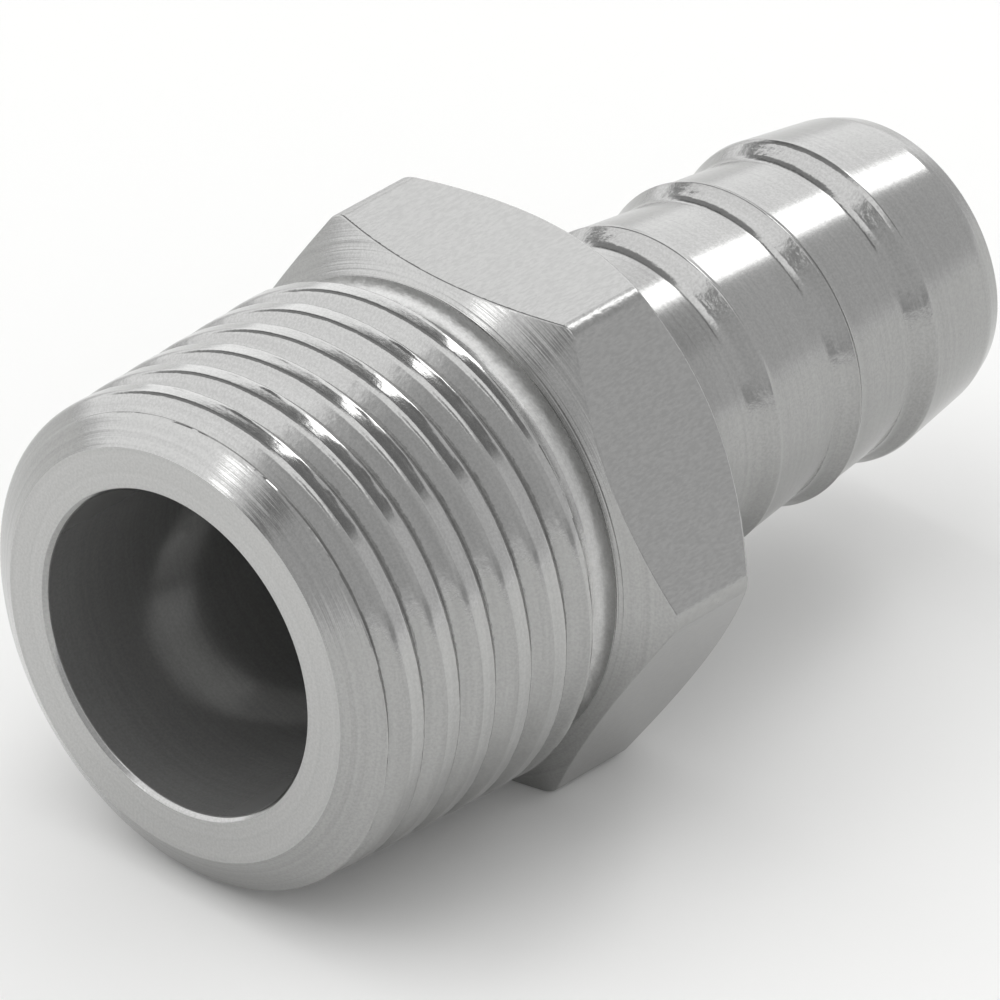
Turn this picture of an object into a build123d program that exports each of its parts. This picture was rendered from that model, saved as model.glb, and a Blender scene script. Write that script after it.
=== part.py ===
from build123d import *
import math
import os

os.makedirs("parts", exist_ok=True)

# A hose barb tail, turned in one piece from hexagon bar.
# Its axis is X: the thread end face is at x = 0 and the hose end points to +X.
# Sizes are in millimetres and angles in degrees.

# Taper thread: the solid follows the crests, and the helix is left to the looks
thread_d = 9.75  # crest diameter at the gauge plane of a 1/8 in taper pipe thread
gauge_length = 4.0  # from the end face to the gauge plane
thread_taper = 1 / 16  # growth of the diameter along the axis
thread_length = 5.65  # from the end face to the last full crest
start_face_d = 7.99  # outer edge of the flat end face
start_angle = 55.0  # start chamfer, measured from the axis
run_out_angle = 60.0  # from the last crest down into the groove
groove_d = 8.6
groove_length = 0.548  # from the foot of the run-out to the hexagon
hollow_r = 0.3  # at the foot of the hexagon's face
hollow_run = 0.02  # of that face in the same cut, above the hollow

# Spanner hexagon, as the bar was drawn, chamfered at both ends on the lathe
across_flats = 9.86
hex_length = 3.06
corner_r = 0.39  # rounded edges of the bar
front_face_d = 9.28  # where the front chamfer starts
front_angle = 30.0  # measured from the face
rear_face_d = 9.78
rear_angle = 40.0

# Neck and barbs: each barb is steep towards the hexagon and tapers to the hose end
neck_d = 5.95
neck_length = 3.13  # from the hexagon to the edge behind the first crest
crest_d = [6.42, 6.40, 6.34]
edge_d = [6.36, 6.28, 6.38]  # behind each crest, where its taper starts
root_d = [5.95, 5.93]  # where a taper ends at the foot of the next barb
barb_spacing = [2.22, 2.04]
crest_width = 0.11
barb_angle = 30.0  # steep side, measured from the axis
foot_r = 0.45  # hollow at the foot of each steep side

# Hose end
tip_length = 2.18  # from the edge behind the last crest to the end
tip_d = 5.82
lead_in = 0.39
end_d = 5.51

# Waterway: a wide counterbore with a drill-point floor, and a through hole
counterbore_d = 6.26
counterbore_depth = 7.2
drill_point = 118.0
through_d = 4.6
mouth_break = 0.08
run_past = 1.0  # how far the cuts run past the ends


def tan(angle):
    return math.tan(math.radians(angle))


def crest_r(x):
    return (thread_d + (x - gauge_length) * thread_taper) / 2


# Places along the axis, each from the one before
start_r = start_face_d / 2
start_x = (crest_r(0) - start_r) / (tan(start_angle) - thread_taper / 2)
groove_r = groove_d / 2
run_out_x = thread_length + (crest_r(thread_length) - groove_r) / tan(run_out_angle)
hex_front = run_out_x + groove_length
hex_rear = hex_front + hex_length
core_x = (hex_front + hex_rear) / 2
edge_x = [hex_rear + neck_length]
for spacing in barb_spacing:
    edge_x.append(edge_x[-1] + spacing)
end_x = edge_x[-1] + tip_length

# Outside of everything but the hexagon, as one half profile
outside = [
    (0, 0),
    (0, start_r),
    (start_x, crest_r(start_x)),
    (thread_length, crest_r(thread_length)),
    (run_out_x, groove_r),
    (hex_front, groove_r),
    (hex_front, groove_r + hollow_r + hollow_run),
    (core_x, groove_r + hollow_r + hollow_run),
    (core_x, neck_d / 2),
]
feet = []
for edge, crest, behind, root in zip(edge_x, crest_d, edge_d, [neck_d] + root_d):
    crest_x = edge - crest_width
    feet.append((crest_x - (crest - root) / 2 / tan(barb_angle), root / 2))
    outside.append(feet[-1])
    outside.append((crest_x, crest / 2))
    outside.append((edge, behind / 2))
outside.append((end_x - lead_in, tip_d / 2))
outside.append((end_x, end_d / 2))
outside.append((end_x, 0))

# The waterway runs past both ends, so its mouths keep their broken edges
wide_r = counterbore_d / 2
narrow_r = through_d / 2
floor_x = counterbore_depth + (wide_r - narrow_r) / tan(drill_point / 2)
waterway = [
    (-run_past, 0),
    (-run_past, wide_r + mouth_break + run_past),
    (mouth_break, wide_r),
    (counterbore_depth, wide_r),
    (floor_x, narrow_r),
    (end_x - mouth_break, narrow_r),
    (end_x + run_past, narrow_r + mouth_break + run_past),
    (end_x + run_past, 0),
]

# The lathe's cut round the bar, which leaves the curved edges on the flats
beyond_r = across_flats / math.sqrt(3)  # the bar's corner, before it was rounded
turned_hex = [
    (hex_front, 0),
    (hex_front, front_face_d / 2),
    (hex_front + (beyond_r - front_face_d / 2) * tan(front_angle), beyond_r),
    (hex_rear - (beyond_r - rear_face_d / 2) * tan(rear_angle), beyond_r),
    (hex_rear, rear_face_d / 2),
    (hex_rear, 0),
]

with BuildPart() as bar:
    with BuildSketch(Plane.YZ.offset(hex_front)) as section:
        RegularPolygon(across_flats / 2, 6, major_radius=False)
        fillet(section.vertices(), corner_r)
    extrude(amount=hex_length)
    with BuildSketch(Plane.XZ):
        with BuildLine():
            Polyline(*turned_hex, close=True)
        make_face()
    revolve(axis=Axis.X, mode=Mode.INTERSECT)

with BuildPart() as hose_tail:
    with BuildSketch(Plane.XZ) as half:
        with BuildLine():
            Polyline(*outside, close=True)
        make_face()
        fillet(half.vertices().sort_by_distance((hex_front, groove_r))[0], hollow_r)
        for x, r in feet:
            fillet(half.vertices().sort_by_distance((x, r))[0], foot_r)
    revolve(axis=Axis.X)
    add(bar.part)
    with BuildSketch(Plane.XZ):
        with BuildLine():
            Polyline(*waterway, close=True)
        make_face()
    revolve(axis=Axis.X, mode=Mode.SUBTRACT)

print("length", round(end_x, 3), "volume", round(hose_tail.part.volume, 2), "solids", len(hose_tail.solids()))
print("box", hose_tail.part.bounding_box())
print("centre of mass", hose_tail.part.center(CenterOf.MASS))
export_step(hose_tail.part, "parts/hose_tail.step")
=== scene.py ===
import math

import bmesh
import bpy
from mathutils import Matrix, Vector, noise


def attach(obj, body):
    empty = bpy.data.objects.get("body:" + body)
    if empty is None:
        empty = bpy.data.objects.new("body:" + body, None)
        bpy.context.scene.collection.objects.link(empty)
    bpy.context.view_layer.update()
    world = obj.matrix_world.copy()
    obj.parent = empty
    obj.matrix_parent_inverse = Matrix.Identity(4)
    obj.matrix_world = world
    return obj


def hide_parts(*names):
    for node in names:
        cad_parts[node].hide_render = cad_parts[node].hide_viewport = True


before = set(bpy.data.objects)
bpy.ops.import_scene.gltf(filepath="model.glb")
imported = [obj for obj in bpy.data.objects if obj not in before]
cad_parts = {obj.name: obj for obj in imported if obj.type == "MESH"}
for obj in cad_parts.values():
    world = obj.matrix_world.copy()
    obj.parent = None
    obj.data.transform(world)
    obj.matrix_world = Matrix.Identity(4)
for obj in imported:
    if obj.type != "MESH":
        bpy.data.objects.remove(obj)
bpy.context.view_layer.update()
print("frame loaded:", sorted(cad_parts))

# The part is modelled in millimetres along X and brought to metres at the end
millimetre = 0.001
weld = 1e-4  # vertices closer than this are one


def tanDeg(angle):
    return math.tan(math.radians(angle))


def addChain(bm, points):
    # A row of vertices joined by edges, in the half plane of the profile
    verts = [bm.verts.new((x, radius, 0)) for x, radius, _ in points]
    for a, b in zip(verts, verts[1:]):
        bm.edges.new((a, b))
    return verts


def roundCorners(bm, verts, points, segments):
    for vert, (_, _, cut) in zip(verts, points):
        if cut:
            bmesh.ops.bevel(bm, geom=[vert], offset=cut, offset_type="OFFSET", segments=segments,
                            profile=0.5, affect="VERTICES", material=-1)


def cutLongEdges(bm, longest):
    for edge in list(bm.edges):
        cuts = int(edge.calc_length() / longest)
        if cuts:
            bmesh.ops.subdivide_edges(bm, edges=[edge], cuts=cuts)


def ringEdges(bm, x):
    # The open rim that lies in the plane at x
    return [e for e in bm.edges if e.is_boundary and all(abs(v.co.x - x) < weld for v in e.verts)]


def newEdges(grown, verts):
    # The edges that an extrusion made between its new vertices
    fresh = set(verts)
    return [g for g in grown if isinstance(g, bmesh.types.BMEdge) and all(v in fresh for v in g.verts)]


def extendRing(bm, edges, radius, x):
    # Grows a band of faces from a rim to a circle of the given radius at x
    grown = bmesh.ops.extrude_edge_only(bm, edges=edges)["geom"]
    verts = [g for g in grown if isinstance(g, bmesh.types.BMVert)]
    for v in verts:
        turn = math.atan2(v.co.z, v.co.y)
        v.co = (x, radius * math.cos(turn), radius * math.sin(turn))
    return newEdges(grown, verts)


def softer(a, b, blend):
    # The smaller of two radii, or the larger for a negative blend, with their meeting rounded
    side = 1 if blend > 0 else -1
    near = max(abs(blend) - abs(a - b), 0)
    return side * min(side * a, side * b) - side * near * near / (4 * abs(blend))


# Taper pipe thread, 28 turns to the inch, as cut: flat crests and a narrow V between them
thread = {
    "pitch": 0.907,
    "crestWidth": 0.38,
    "crown": 0.002,  # how far a crest's middle stands above its edges
    "grooveDepth": 0.25,
    "flankAngle": 45.0,
    "frontRound": 0.07,  # the crest's edge towards the end face, worn rounder than the other
    "rearRound": 0.03,
    "rootRound": 0.05,
    "roundSegments": 3,
    "burr": 0.012,  # unevenness of the crests' rear edges, which glitters near a light
    "burrWidth": 0.035,
    "burrLength": 0.2,
    "crestAtGauge": 4.875,
    "largestCrest": 4.926,
    "gaugeLength": 4.0,
    "taper": 1 / 32,  # growth of the radius along the axis
    "startFace": 3.995,
    "startAngle": 55.0,
    "startDepth": 0.63,  # how far along the axis the start chamfer reaches
    "lastCrest": 5.65,
    "runOutAngle": 60.0,
    "groove": 4.30,  # radius of the run-out groove
    "startBlend": 0.06,  # how far each cut is rounded into the next
    "runOutBlend": 0.08,
    "grooveBlend": 0.12,
    "firstCrest": -1.122,  # middle of the first crest where it crosses +Y
    "turns": 9,
    "steps": 192,  # round one turn
    "longestEdge": 0.05,  # across the thread
    "rearEnd": 6.12,  # where the thread's mesh meets the groove's
    "bridge": 0.05,  # width of the band between the two
    "turnWeld": 1e-3,  # one turn's vertices are this close to the next one's
    "onCut": 1e-5,  # vertices this close to a cut count as on it
}


def makeThread():
    # One turn's outline is screwed along the axis, then tapered, and the lathe's cuts are taken off its ends
    bm = bmesh.new()
    pitch = thread["pitch"]
    flank = thread["grooveDepth"] * tanDeg(thread["flankAngle"])
    top = thread["crestAtGauge"]
    low = top - thread["grooveDepth"]
    half = thread["crestWidth"] / 2
    start = thread["firstCrest"] - half
    points = [
        (start + half, top, 0),
        (start + 2 * half, top, thread["rearRound"]),
        (start + 2 * half + flank, low, thread["rootRound"]),
        (start + pitch - flank, low, thread["rootRound"]),
        (start + pitch, top, thread["frontRound"]),
        (start + pitch + half, top, 0),
    ]
    verts = addChain(bm, points)
    roundCorners(bm, verts, points, thread["roundSegments"])
    cutLongEdges(bm, thread["longestEdge"])
    for v in bm.verts:
        fromCrest = (v.co.x - start) % pitch - half
        fromCrest = min(abs(fromCrest), pitch - abs(fromCrest))
        v.co.y -= thread["crown"] * (fromCrest / half) ** 2
    bmesh.ops.spin(bm, geom=bm.verts[:] + bm.edges[:], cent=(0, 0, 0), axis=(1, 0, 0),
                   dvec=(pitch / thread["steps"], 0, 0), angle=2 * math.pi, steps=thread["steps"],
                   use_merge=False, use_duplicate=False)
    oneTurn = bm.verts[:] + bm.edges[:] + bm.faces[:]
    for turn in range(1, thread["turns"]):
        copied = bmesh.ops.duplicate(bm, geom=oneTurn)["geom"]
        bmesh.ops.translate(bm, vec=(turn * pitch, 0, 0),
                            verts=[g for g in copied if isinstance(g, bmesh.types.BMVert)])
    bmesh.ops.remove_doubles(bm, verts=bm.verts[:], dist=thread["turnWeld"])
    for v in bm.verts:
        x = v.co.x
        reach = math.hypot(v.co.y, v.co.z)
        radius = reach
        turn = math.atan2(v.co.z, v.co.y) / (2 * math.pi)
        pastCrest = (x - thread["firstCrest"] - turn * pitch) % pitch
        if abs(pastCrest - half) < thread["burrWidth"]:
            radius += thread["burr"] * noise.noise(v.co / thread["burrLength"])
        tapered = radius + (x - thread["gaugeLength"]) * thread["taper"]
        chamfer = thread["startFace"] + x * tanDeg(thread["startAngle"])
        runOut = thread["largestCrest"] - (x - thread["lastCrest"]) * tanDeg(thread["runOutAngle"])
        turnedDown = softer(runOut, thread["groove"], -thread["grooveBlend"])
        target = softer(softer(tapered, chamfer, thread["startBlend"]), turnedDown, thread["runOutBlend"])
        v.co.y *= target / reach
        v.co.z *= target / reach
    for x, side in ((0.0, "clear_inner"), (thread["rearEnd"], "clear_outer")):
        bmesh.ops.bisect_plane(bm, geom=bm.verts[:] + bm.edges[:] + bm.faces[:], dist=thread["onCut"],
                               plane_co=(x, 0, 0), plane_no=(1, 0, 0), **{side: True})
    return bm


# Spanner hexagon with a lathe chamfer at each end
hexagon = {
    "acrossFlats": 9.86,
    "front": 6.56,
    "rear": 9.62,
    "frontFace": 4.64,
    "frontAngle": 30.0,
    "rearFace": 4.89,
    "rearAngle": 40.0,
    "cornerCut": 0.225,  # from each corner back to where its rounding starts
    "cornerReach": 5.584,  # past this radius a face belongs to the rounding
    "cornerSegments": 8,
    "flatCuts": 23,
    "edgeRound": 0.035,
    "edgeSegments": 2,
    "hollow": 0.30,  # radius at the foot of the front face
    "hollowSteps": 6,
}


def makeHexagon(bm):
    # The bar's rounded outline, pulled into the curved edges that a chamfer cut leaves on the flats
    cornerRadius = hexagon["acrossFlats"] / math.sqrt(3)
    toCross = Matrix(((0, 0, 1), (1, 0, 0), (0, 1, 0)))
    outline = bmesh.ops.create_circle(bm, cap_ends=False, segments=6, radius=cornerRadius)["verts"]
    bmesh.ops.transform(bm, matrix=toCross.to_4x4(), verts=outline)
    turn = math.atan2(outline[0].co.z, outline[0].co.y)
    bmesh.ops.rotate(bm, verts=outline, cent=(0, 0, 0), matrix=Matrix.Rotation(-turn, 3, "X"))
    bmesh.ops.bevel(bm, geom=outline, offset=hexagon["cornerCut"], offset_type="OFFSET",
                    segments=hexagon["cornerSegments"], profile=0.5, affect="VERTICES", material=-1)
    flatEdges = [e for e in bm.edges if e.is_wire and e.calc_length() > 2 * hexagon["cornerCut"]]
    bmesh.ops.subdivide_edges(bm, edges=flatEdges, cuts=hexagon["flatCuts"])
    rim = [e for e in bm.edges if e.is_wire]
    frontRim = list({v for e in rim for v in e.verts})
    grown = bmesh.ops.extrude_edge_only(bm, edges=rim)["geom"]
    rearRim = [g for g in grown if isinstance(g, bmesh.types.BMVert)]
    for v in frontRim:
        reach = math.hypot(v.co.y, v.co.z)
        v.co.x = hexagon["front"] + (reach - hexagon["frontFace"]) * tanDeg(hexagon["frontAngle"])
    for v in rearRim:
        reach = math.hypot(v.co.y, v.co.z)
        v.co.x = hexagon["rear"] - (reach - hexagon["rearFace"]) * tanDeg(hexagon["rearAngle"])
    backEdges = newEdges(grown, rearRim)
    frontCircle = extendRing(bm, rim, hexagon["frontFace"], hexagon["front"])
    hollow = hexagon["hollow"]
    groove = extendRing(bm, frontCircle, thread["groove"] + hollow, hexagon["front"])
    for step in range(1, hexagon["hollowSteps"] + 1):
        swing = math.radians(90 * step / hexagon["hollowSteps"])
        groove = extendRing(bm, groove, thread["groove"] + hollow * (1 - math.sin(swing)),
                            hexagon["front"] - hollow * (1 - math.cos(swing)))
    extendRing(bm, groove, thread["groove"], thread["rearEnd"] + thread["bridge"])
    extendRing(bm, backEdges, hexagon["rearFace"], hexagon["rear"])
    bmesh.ops.recalc_face_normals(bm, faces=bm.faces[:])  # the bevel needs both sides of an edge wound alike
    bmesh.ops.bevel(bm, geom=rim + backEdges, offset=hexagon["edgeRound"], offset_type="OFFSET",
                    segments=hexagon["edgeSegments"], profile=0.5, affect="EDGES", material=-1,
                    clamp_overlap=True)


# Neck, barbs and hose end. Points are (x, radius, rounding), and each barb has its foot's radius, its crest's
# steep edge and the edge behind the crest
tail = {
    "seam": 3.40,  # where the neck's mesh meets the hexagon's
    "neck": 2.975,
    "neckRound": 0.05,
    "barbs": [
        {"foot": 2.975, "crest": (12.64, 3.21), "edge": (12.75, 3.18)},
        {"foot": 2.975, "crest": (14.86, 3.20), "edge": (14.97, 3.14)},
        {"foot": 2.965, "crest": (16.90, 3.17), "edge": (17.01, 3.19)},
    ],
    "barbAngle": 30.0,
    "footRound": 0.12,
    "crestRound": 0.03,
    "edgeRound": 0.025,
    "leadIn": (18.80, 2.91, 0.08),
    "end": (19.19, 2.755, 0.04),
    "roundSegments": 4,
    "steps": 192,
}

# Waterway: counterbore, drill-point floor and through hole
waterway = {
    "seam": 3.45,  # where its mesh meets the end face's
    "wide": 3.13,
    "depth": 7.20,
    "depthRound": 0.03,
    "floorEnd": 7.699,
    "floorRound": 0.05,
    "narrow": 2.30,
    "mouthBreak": 0.08,
    "mouthRound": 0.02,
    "wideMouthRound": 0.03,
}


def turnedOutline():
    # Half profile from the hexagon's rear face, round the hose end and back to the mouth
    points = [(hexagon["rear"], tail["seam"], 0), (hexagon["rear"], tail["neck"], tail["neckRound"])]
    for barb in tail["barbs"]:
        foot = barb["foot"]
        x, radius = barb["crest"]
        points.append((x - (radius - foot) / tanDeg(tail["barbAngle"]), foot, tail["footRound"]))
        points.append((x, radius, tail["crestRound"]))
        points.append((*barb["edge"], tail["edgeRound"]))
    end = tail["end"][0]
    mouth = waterway["mouthBreak"]
    wide = waterway["wide"]
    narrow = waterway["narrow"]
    points += [
        tail["leadIn"],
        tail["end"],
        (end, narrow + mouth, waterway["mouthRound"]),
        (end - mouth, narrow, waterway["mouthRound"]),
        (waterway["floorEnd"], narrow, waterway["floorRound"]),
        (waterway["depth"], wide, waterway["depthRound"]),
        (mouth, wide, waterway["wideMouthRound"]),
        (0.0, wide + mouth, waterway["mouthRound"]),
        (0.0, waterway["seam"], 0),
    ]
    return points


def makeTail(bm):
    # Spun from its half profile: neck, barbs, hose end, through hole, drill-point floor, counterbore
    known = set(bm.verts)
    points = turnedOutline()
    roundCorners(bm, addChain(bm, points), points, tail["roundSegments"])
    fresh = [v for v in bm.verts if v not in known]
    wire = list({e for v in fresh for e in v.link_edges})
    bmesh.ops.spin(bm, geom=fresh + wire, cent=(0, 0, 0), axis=(1, 0, 0), dvec=(0, 0, 0),
                   angle=2 * math.pi, steps=tail["steps"], use_merge=True, use_duplicate=False)


bm = bmesh.new()
makeHexagon(bm)
makeTail(bm)
threadMesh = bpy.data.meshes.new("threadTurns")
cut = makeThread()
cut.to_mesh(threadMesh)
cut.free()
bm.from_mesh(threadMesh)
bpy.data.meshes.remove(threadMesh)
print("thread, hexagon and tail shaped:", len(bm.faces), "faces")
seams = ringEdges(bm, thread["rearEnd"]) + ringEdges(bm, thread["rearEnd"] + thread["bridge"])
bmesh.ops.bridge_loops(bm, edges=seams)
for x in (0.0, hexagon["rear"]):  # the end face and the hexagon's rear face, each flat between two rings
    bmesh.ops.triangle_fill(bm, edges=ringEdges(bm, x), use_beauty=True, use_dissolve=False,
                            normal=(1, 0, 0))
bmesh.ops.remove_doubles(bm, verts=bm.verts[:], dist=weld)
bmesh.ops.recalc_face_normals(bm, faces=bm.faces[:])
if bm.calc_volume(signed=True) < 0:
    bmesh.ops.reverse_faces(bm, faces=bm.faces[:])
print("joined, open edges:", len([e for e in bm.edges if not e.is_manifold]))
bmesh.ops.scale(bm, vec=(millimetre, millimetre, millimetre), verts=bm.verts[:])


def linear(hexColour):
    # An sRGB hex colour as the linear values that the shaders take
    channels = [int(hexColour[i:i + 2], 16) / 255 for i in (1, 3, 5)]
    return tuple(c / 12.92 if c <= 0.04045 else ((c + 0.055) / 1.055) ** 2.4 for c in channels) + (1,)


def addNode(tree, kind, settings=None, links=None):
    # One node with its settings, by socket name or number or by property, and what feeds its sockets
    node = tree.nodes.new(kind)
    for name, value in (settings or {}).items():
        if isinstance(name, str) and hasattr(node, name):
            setattr(node, name, value)
        else:
            node.inputs[name].default_value = value
    for name, socket in (links or {}).items():
        tree.links.new(socket, node.inputs[name])
    return node


def newMaterial(name, finish):
    material = bpy.data.materials.new(name)
    material.use_nodes = True
    tree = material.node_tree
    shader = tree.nodes["Principled BSDF"]
    shader.inputs["Metallic"].default_value = finish.get("metal", 1)
    shader.inputs["Base Color"].default_value = linear(finish["colour"])
    shader.inputs["Roughness"].default_value = finish["roughness"]
    return material, tree, shader


def ringCoordinates(tree):
    # Places in millimetres, and distance along the axis and out from it, the same all round a turned surface
    place = addNode(tree, "ShaderNodeTexCoord")
    inMillimetres = addNode(tree, "ShaderNodeVectorMath", {"operation": "SCALE", "Scale": 1 / millimetre},
                            {0: place.outputs["Object"]})
    parts = addNode(tree, "ShaderNodeSeparateXYZ", {}, {0: inMillimetres.outputs[0]})
    across = addNode(tree, "ShaderNodeCombineXYZ", {}, {"Y": parts.outputs["Y"], "Z": parts.outputs["Z"]})
    reach = addNode(tree, "ShaderNodeVectorMath", {"operation": "LENGTH"}, {0: across.outputs[0]})
    rings = addNode(tree, "ShaderNodeCombineXYZ", {}, {"X": parts.outputs["X"], "Y": reach.outputs["Value"]})
    return inMillimetres, rings


def varied(tree, shader, finish, signal):
    # Roughness that wanders by a little about its typical value
    spread = finish["roughnessSpread"]
    low = finish["roughness"] - spread
    high = finish["roughness"] + spread
    rough = addNode(tree, "ShaderNodeMapRange", {"To Min": low, "To Max": high}, {"Value": signal})
    tree.links.new(rough.outputs[0], shader.inputs["Roughness"])


noiseRange = (0.35, 0.65)  # where most of a noise texture's values lie


def tinted(tree, shader, colourIn, signal, amount):
    # The colour made darker by up to the given share where the signal is low
    low, high = noiseRange
    share = addNode(tree, "ShaderNodeMapRange",
                    {"From Min": low, "From Max": high, "To Min": 1 - amount, "To Max": 1}, {"Value": signal})
    mixed = addNode(tree, "ShaderNodeMix", {"data_type": "RGBA", "blend_type": "MULTIPLY", 0: 1.0},
                    {7: share.outputs[0]})
    if isinstance(colourIn, tuple):
        mixed.inputs[6].default_value = colourIn
    else:
        tree.links.new(colourIn, mixed.inputs[6])
    tree.links.new(mixed.outputs[2], shader.inputs["Base Color"])
    return mixed.outputs[2]


turned = {
    "colour": "#a9a9a8",
    "roughness": 0.18,
    "roughnessSpread": 0.03,
    "toolMark": 0.10,  # mm from ring to ring, about twice the real feed, so that it shows
    "markDepth": 0.0012,  # mm
    "ringValleyShade": 0.08,  # painted shade: how much darker the colour is at the bottom of a ring
    "waver": 0.6,  # mm across a patch where the plating is thicker
    "waverDepth": 0.003,
    "grain": 0.05,  # mm, about twice as coarse as it is, so that it shows
    "grainTint": 0.10,
}


def turnedPlate(name, finish):
    # Brass turned on a lathe and nickel plated: bright as a mirror, with fine rings that draw a highlight
    # out, and painted shade in the colour at the bottom of each ring
    material, tree, shader = newMaterial(name, finish)
    solid, rings = ringCoordinates(tree)
    marks = addNode(tree, "ShaderNodeTexNoise",
                    {"Scale": 1 / finish["toolMark"], "Detail": 3, "Roughness": 0.6},
                    {"Vector": rings.outputs[0]})
    patches = addNode(tree, "ShaderNodeTexNoise", {"Scale": 1 / finish["waver"], "Detail": 4},
                      {"Vector": solid.outputs[0]})
    wavy = addNode(tree, "ShaderNodeBump", {"Distance": finish["waverDepth"] * millimetre},
                   {"Height": patches.outputs["Fac"]})
    ringed = addNode(tree, "ShaderNodeBump", {"Distance": finish["markDepth"] * millimetre},
                     {"Height": marks.outputs["Fac"], "Normal": wavy.outputs[0]})
    tree.links.new(ringed.outputs[0], shader.inputs["Normal"])
    varied(tree, shader, finish, patches.outputs["Fac"])
    grain = addNode(tree, "ShaderNodeTexNoise", {"Scale": 1 / finish["grain"], "Detail": 1},
                    {"Vector": solid.outputs[0]})
    # Painted shade: the colour is darkened at the bottom of each ring, and the grain's own tone goes on top
    ringShadedColour = tinted(tree, shader, linear(finish["colour"]), marks.outputs["Fac"], finish["ringValleyShade"])
    tinted(tree, shader, ringShadedColour, grain.outputs["Fac"], finish["grainTint"])
    return material


flats = {
    "colour": "#a9a9a8",
    "roughness": 0.13,
    "roughnessSpread": 0.03,
    "grain": 0.05,  # mm, drawn about twice as coarse as it is, so that it shows
    "grainDepth": 0.0012,
    "grainTint": 0.12,
    "stretch": 0.35,  # along the bar, as a die leaves it
}


def drawnPlate(name, finish):
    # The bar's flats as drawn through a die and plated: an even satin with a fine grain along the bar
    material, tree, shader = newMaterial(name, finish)
    solid, _ = ringCoordinates(tree)
    along = addNode(tree, "ShaderNodeMapping", {"Scale": (finish["stretch"], 1, 1)},
                    {"Vector": solid.outputs[0]})
    grain = addNode(tree, "ShaderNodeTexNoise", {"Scale": 1 / finish["grain"], "Detail": 2},
                    {"Vector": along.outputs[0]})
    bumpy = addNode(tree, "ShaderNodeBump", {"Distance": finish["grainDepth"] * millimetre},
                    {"Height": grain.outputs["Fac"]})
    tree.links.new(bumpy.outputs[0], shader.inputs["Normal"])
    varied(tree, shader, finish, grain.outputs["Fac"])
    tinted(tree, shader, linear(finish["colour"]), grain.outputs["Fac"], finish["grainTint"])
    return material


# Satin of a faced end, which gives an even grey ring round the mouth; coloured paler than the plating,
# painted light that lifts the end face
facingPaintedLight = dict(turned, colour="#c0c0bf", roughness=0.30, roughnessSpread=0.05, markDepth=0.0006)
# The bore's plating is thin and dull, so it stays dark with only a faint mirrored crescent
bored = dict(turned, colour="#a8a8a7", metal=0.6, roughness=0.12, roughnessSpread=0.03, markDepth=0.0003,
             waverDepth=0.0005)
# Coarser rings where the lathe cut across the bar's corners, bright and dark by turns near a light, with more
# painted shade at the bottom of each ring
chamfered = dict(turned, colour="#adadac", roughness=0.12, toolMark=0.085, markDepth=0.0080, ringValleyShade=0.10,
                 waverDepth=0.003)
# Flanks in about the plain plating colour, with the crests painted paler, so that the turns stand out from
# each other
threaded = dict(turned, colour="#ababaa", roughness=0.11, toolMark=0.12, markDepth=0.0008, waver=0.30,
                waverDepth=0.009)
# Crests uneven, which breaks the highlight into bright dots, and coloured paler than the flanks: painted
# light on the crests
crestPaintedLight = dict(threaded, colour="#b8b8b7", waverDepth=0.003)
# Corners of the bar worn to a grainy satin, which blurs their highlight into a speckled band
corners = dict(flats, roughness=0.26, grain=0.08, grainDepth=0.005, stretch=0.6)
# Groove behind the thread, uneven and a little satin, which breaks its reflections into pale patches;
# coloured paler than the plating, painted light that lifts the shade in the groove
groovePaintedLight = dict(turned, colour="#bdbdbc", roughness=0.24, roughnessSpread=0.06, markDepth=0.004, waver=0.35,
               waverDepth=0.014)
# Hollow at the foot of the hexagon, as the tool's nose left it: satin, so that it doesn't turn black, and
# coloured far paler than the plating, painted light that lifts the shade in the hollow
hollowPaintedLight = dict(turned, colour="#d0d0cf", roughness=0.46, roughnessSpread=0.06, markDepth=0.003, waver=0.3,
                waverDepth=0.03)
# Steep sides of the barbs, less even than the tapers, which breaks the light at their feet into beads
shouldered = dict(turned, roughness=0.14, waver=0.25, waverDepth=0.012)

finishes = {
    "turned": turnedPlate("turnedNickelPlate", turned),
    "flats": drawnPlate("drawnHexagonPlate", flats),
    "end": turnedPlate("facedEndPaintedLightPlate", facingPaintedLight),
    "bore": turnedPlate("boredWallPlate", bored),
    "chamfers": turnedPlate("chamferCutPlate", chamfered),
    "flanks": turnedPlate("threadCutPlate", threaded),
    "corners": drawnPlate("barCornerPlate", corners),
    "crests": turnedPlate("threadCrestPaintedLightPlate", crestPaintedLight),
    "groove": turnedPlate("runOutGroovePaintedLightPlate", groovePaintedLight),
    "hollow": turnedPlate("hexagonFootPaintedLightPlate", hollowPaintedLight),
    "shoulders": turnedPlate("barbShoulderPlate", shouldered),
}
print("finishes:", [material.name for material in finishes.values()])

# Where one finish ends and the next begins. A tilt is how far a normal leans along the axis, and the others
# are places and radii
sorting = {
    "onFace": 0.001,
    "onWall": 0.01,
    "insideEnd": 19.1,  # the wall stops short of the hose end's broken edge
    "flatReach": 4.9,
    "flatTilt": 0.1,
    "chamferFrom": 6.5,
    "startTilt": -0.5,
    "grooveFrom": 6.02,
    "grooveTo": 6.57,
    "hollowTilt": -0.35,
    "crestOut": 0.985,  # how straight out of the axis a crest's normal points
    "crestReach": 4.65,
    "tailFrom": 9.72,
    "shoulderTilt": -0.1,
}


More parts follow.
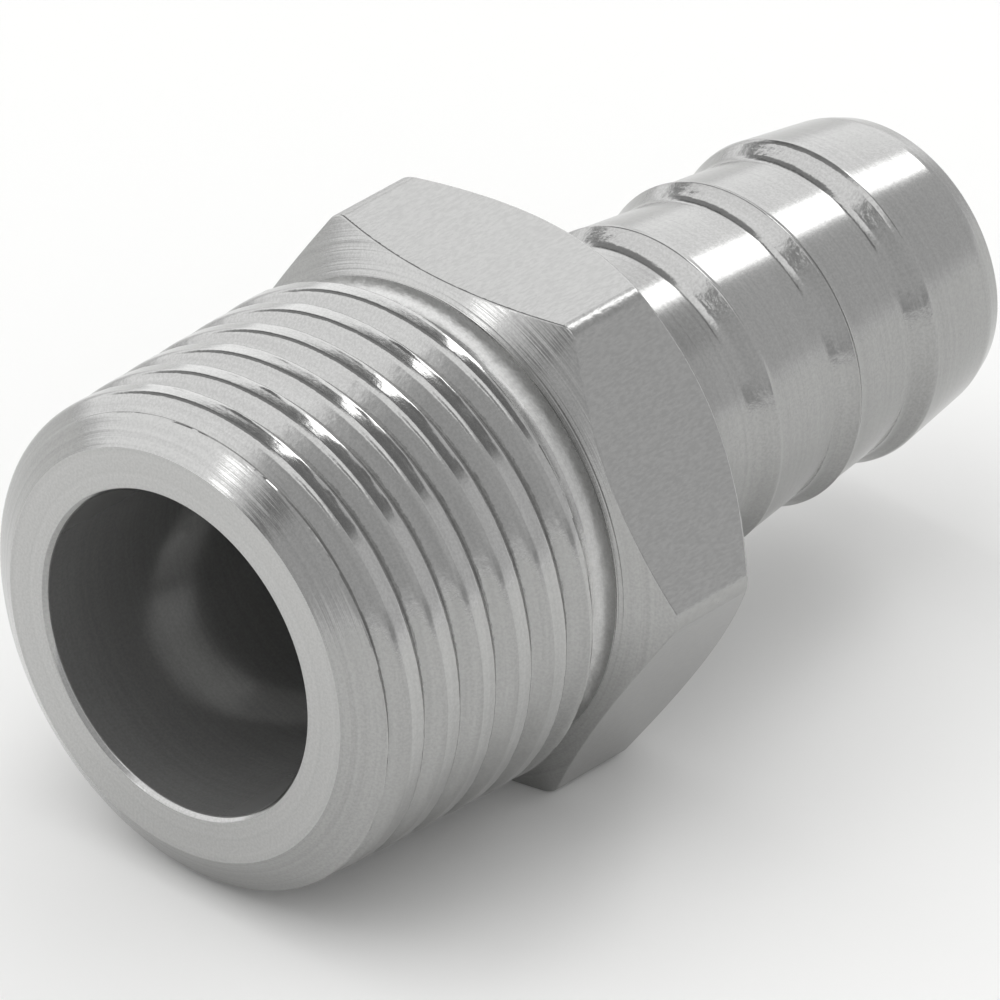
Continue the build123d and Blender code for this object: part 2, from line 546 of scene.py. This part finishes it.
def finishOf(face):
    centre = face.calc_center_median() / millimetre
    reach = math.hypot(centre.y, centre.z)
    tilt = face.normal.x
    outwards = (face.normal.y * centre.y + face.normal.z * centre.z) / reach
    if centre.x < sorting["onFace"]:
        return "end"
    if reach < waterway["wide"] + sorting["onWall"] and outwards < 0 and centre.x < sorting["insideEnd"]:
        return "bore"
    if reach > sorting["flatReach"] and abs(tilt) < sorting["flatTilt"] and centre.x > hexagon["front"]:
        return "corners" if reach > hexagon["cornerReach"] else "flats"
    if reach > hexagon["frontFace"] and centre.x > sorting["chamferFrom"]:
        return "chamfers"
    if centre.x < thread["startDepth"] and tilt < sorting["startTilt"]:
        return "chamfers"
    if sorting["grooveFrom"] < centre.x < sorting["grooveTo"]:
        return "hollow" if tilt < sorting["hollowTilt"] else "groove"
    if centre.x < thread["rearEnd"]:
        onCrest = outwards > sorting["crestOut"] and reach > sorting["crestReach"]
        return "crests" if onCrest else "flanks"
    if centre.x > sorting["tailFrom"] and tilt < sorting["shoulderTilt"]:
        return "shoulders"
    return "turned"


def evenShading(bm, crease):
    # Each corner's normal is the mean of the faces round it that turn by less than the crease, by their area
    limit = math.cos(math.radians(crease))
    size = {f: f.calc_area() for f in bm.faces}
    normals = []
    for f in bm.faces:
        for loop in f.loops:
            near = [g for g in loop.vert.link_faces if g.normal.dot(f.normal) > limit]
            normals.append(sum((g.normal * size[g] for g in near), Vector()).normalized())
    return normals


sharpFrom = 25  # degrees between two faces, from which their edge shows
slots = {name: number for number, name in enumerate(finishes)}
for f in bm.faces:
    f.smooth = True
    f.material_index = slots[finishOf(f)]
mesh = bpy.data.meshes.new("hoseTailBody")
for material in finishes.values():
    mesh.materials.append(material)
bm.normal_update()
cornerNormals = evenShading(bm, sharpFrom)
bm.to_mesh(mesh)
mesh.normals_split_custom_set(cornerNormals)
print("triangles:", len(bm.calc_loop_triangles()))
bm.free()
hoseTail = bpy.data.objects.new("hoseTailBody", mesh)
bpy.context.scene.collection.objects.link(hoseTail)
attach(hoseTail, "root")
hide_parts("hose_tail")

# Pale paper floor, and a plain soft room that is paler on one side, as a light tent open to the right
room = {
    "floorColour": "#f3f3f2",
    "floorRoughness": 0.9,
    "floorSpecular": 0.1,
    "floorSize": 3.0,
    "bright": 1.60,  # the pale side of the room, to the left and behind the camera
    "dim": 0.78,  # the side to the right
    "brightFrom": 18,  # degrees round from +X towards +Y
    "brightTo": 166,
    "brightSoft": 9,
    "back": 0.69,  # behind the camera on the dim side
    "backFrom": -220,  # past the seam at -180
    "backTo": -115,
    "backSoft": 20,
    "ceiling": 1.6,  # straight above, where it lights the floor and hardly shows in the metal
    "ceilingFrom": 0.85,
    "ceilingTo": 2,
    "ceilingSoft": 0.05,
    "sweep": 1.0,  # where the walls curve into the floor
    "sweepFrom": -2,
    "sweepTop": 0.15,
    "patchSoft": 0.012,
    "slantFrom": 18,  # the arch's far edge comes in towards the pale side
    "slantTo": 75,
    "slant": 0.07,
    # Darker parts, an arch over the open end and gaps between panels: how far along X and between which turns
    # about X, from overhead towards +Y
    "patches": {
        "archEnd": {"level": 0.24, "along": (0.48, 0.625), "turns": (-40, 75), "turnSoft": 5},
        "archSide": {"level": 0.46, "along": (0.14, 0.49), "turns": (5, 75), "turnSoft": 5},
        "lowRight": {"level": 0.52, "along": (-0.27, 0.54), "turns": (-98, -76), "turnSoft": 8},
        "highRight": {"level": 0.50, "along": (-0.32, -0.02), "turns": (-31, -11), "turnSoft": 6},
        "behind": {"level": 0.32, "along": (-0.96, -0.84), "turns": (1, 17), "turnSoft": 4},
    },
}

bm = bmesh.new()
bmesh.ops.create_grid(bm, x_segments=1, y_segments=1, size=room["floorSize"],
                      matrix=Matrix.Translation((0, 0, -hexagon["acrossFlats"] / 2 * millimetre)))
floorMesh = bpy.data.meshes.new("paleFloor")
bm.to_mesh(floorMesh)
bm.free()
floor = bpy.data.objects.new("paleFloor", floorMesh)
bpy.context.scene.collection.objects.link(floor)

paper = bpy.data.materials.new("palePaper")  # matt, so that it keeps a soft shadow and no shine
paper.use_nodes = True
shader = paper.node_tree.nodes["Principled BSDF"]
shader.inputs["Base Color"].default_value = linear(room["floorColour"])
shader.inputs["Roughness"].default_value = room["floorRoughness"]
shader.inputs["Specular IOR Level"].default_value = room["floorSpecular"]
floorMesh.materials.append(paper)


def within(tree, value, low, high, soft):
    # 1 between the two limits and 0 outside, with soft edges
    rise = addNode(tree, "ShaderNodeMapRange", {"interpolation_type": "SMOOTHSTEP", "From Min": low - soft,
                                                "From Max": low + soft}, {"Value": value})
    fall = addNode(tree, "ShaderNodeMapRange", {"interpolation_type": "SMOOTHSTEP", "From Min": high - soft,
                                                "From Max": high + soft, "To Min": 1, "To Max": 0},
                   {"Value": value})
    both = addNode(tree, "ShaderNodeMath", {"operation": "MULTIPLY"},
                   {0: rise.outputs[0], 1: fall.outputs[0]})
    return both.outputs[0]


def withinAngles(tree, value, low, high, soft):
    return within(tree, value, math.radians(low), math.radians(high), math.radians(soft))


def makeRoom():
    world = bpy.data.worlds.new("softRoom")
    bpy.context.scene.world = world
    world.use_nodes = True
    tree = world.node_tree
    way = addNode(tree, "ShaderNodeTexCoord")
    parts = addNode(tree, "ShaderNodeSeparateXYZ", {}, {0: way.outputs["Generated"]})
    x, y, z = (parts.outputs[axis] for axis in "XYZ")
    compass = addNode(tree, "ShaderNodeMath", {"operation": "ARCTAN2"}, {0: y, 1: x}).outputs[0]
    around = addNode(tree, "ShaderNodeMath", {"operation": "ARCTAN2"}, {0: y, 1: z}).outputs[0]
    slant = addNode(tree, "ShaderNodeMapRange", {"From Min": math.radians(room["slantFrom"]),
                                                 "From Max": math.radians(room["slantTo"]),
                                                 "To Max": room["slant"]}, {"Value": around})
    along = addNode(tree, "ShaderNodeMath", {"operation": "ADD"}, {0: x, 1: slant.outputs[0]}).outputs[0]

    onBrightSide = withinAngles(tree, compass, room["brightFrom"], room["brightTo"], room["brightSoft"])
    walls = addNode(tree, "ShaderNodeMapRange", {"To Min": room["dim"], "To Max": room["bright"]},
                    {"Value": onBrightSide})
    regions = [
        (withinAngles(tree, compass, room["backFrom"], room["backTo"], room["backSoft"]), room["back"]),
        (within(tree, z, room["ceilingFrom"], room["ceilingTo"], room["ceilingSoft"]), room["ceiling"]),
    ]
    for patch in room["patches"].values():
        reached = within(tree, along, *patch["along"], room["patchSoft"])
        turnedTo = withinAngles(tree, around, *patch["turns"], patch["turnSoft"])
        inPatch = addNode(tree, "ShaderNodeMath", {"operation": "MULTIPLY"}, {0: reached, 1: turnedTo})
        regions.append((inPatch.outputs[0], patch["level"]))
    half = 0.5 * room["sweepTop"]
    regions.append((within(tree, z, room["sweepFrom"], half, half), room["sweep"]))

    level = walls.outputs[0]
    for inside, other in regions:
        mixed = addNode(tree, "ShaderNodeMix", {"data_type": "FLOAT", 3: other}, {0: inside, 2: level})
        level = mixed.outputs[0]
    tree.links.new(level, tree.nodes["Background"].inputs["Strength"])
    tree.nodes["Background"].inputs["Color"].default_value = (1, 1, 1, 1)


makeRoom()
print("floor and room made")

# Softboxes: where each stands as seen from the part's middle, its size in metres and its brightness
partMiddle = Vector((0.0096, 0, 0))
softboxes = {
    "keySoftbox": {"azimuth": 10, "elevation": 41, "distance": 0.6, "size": (0.165, 0.285), "watts": 0.43},
    "edgeSoftbox": {"azimuth": 159, "elevation": 24, "distance": 0.6, "size": (0.08, 0.06), "watts": 0.035},
}
for name, box in softboxes.items():
    lamp = bpy.data.lights.new(name, "AREA")
    lamp.shape = "ELLIPSE"
    lamp.size, lamp.size_y = box["size"]
    lamp.energy = box["watts"]
    azimuth = math.radians(box["azimuth"])
    elevation = math.radians(box["elevation"])
    level = math.cos(elevation)
    away = Vector((level * math.cos(azimuth), level * math.sin(azimuth), math.sin(elevation)))
    aim = away.to_track_quat("Z", "Y").to_matrix().to_4x4()
    holder = bpy.data.objects.new(name, lamp)
    holder.matrix_world = Matrix.Translation(partMiddle + away * box["distance"]) @ aim
    bpy.context.scene.collection.objects.link(holder)
print("lit by", list(softboxes))

# Camera where the photograph was taken from, fitted for a 1000 by 1000 frame with a long lens
cameraPlace = {
    "right": (0.66962846, -0.741949, 0.03330777),
    "down": (-0.3767509, -0.37799223, -0.84568353),
    "forward": (0.64004413, 0.55374503, -0.53264431),
    "eye": (-0.20072371, -0.18114872, 0.17365389),
    "lens": 652.764,
    "sensor": 36,
    "nearest": 0.01,
    "furthest": 10,
}
cameraData = bpy.data.cameras.new("photoCamera")
cameraData.sensor_width = cameraPlace["sensor"]
cameraData.lens = cameraPlace["lens"]
cameraData.clip_start = cameraPlace["nearest"]
cameraData.clip_end = cameraPlace["furthest"]
camera = bpy.data.objects.new("photoCamera", cameraData)
bpy.context.scene.collection.objects.link(camera)
sideways = Vector(cameraPlace["right"])
upwards = -Vector(cameraPlace["down"])
backwards = -Vector(cameraPlace["forward"])
turn = Matrix((sideways, upwards, backwards)).transposed().to_4x4()
camera.matrix_world = Matrix.Translation(cameraPlace["eye"]) @ turn
bpy.context.scene.camera = camera
print("camera placed")

bpy.context.scene.view_settings.view_transform = "Standard"
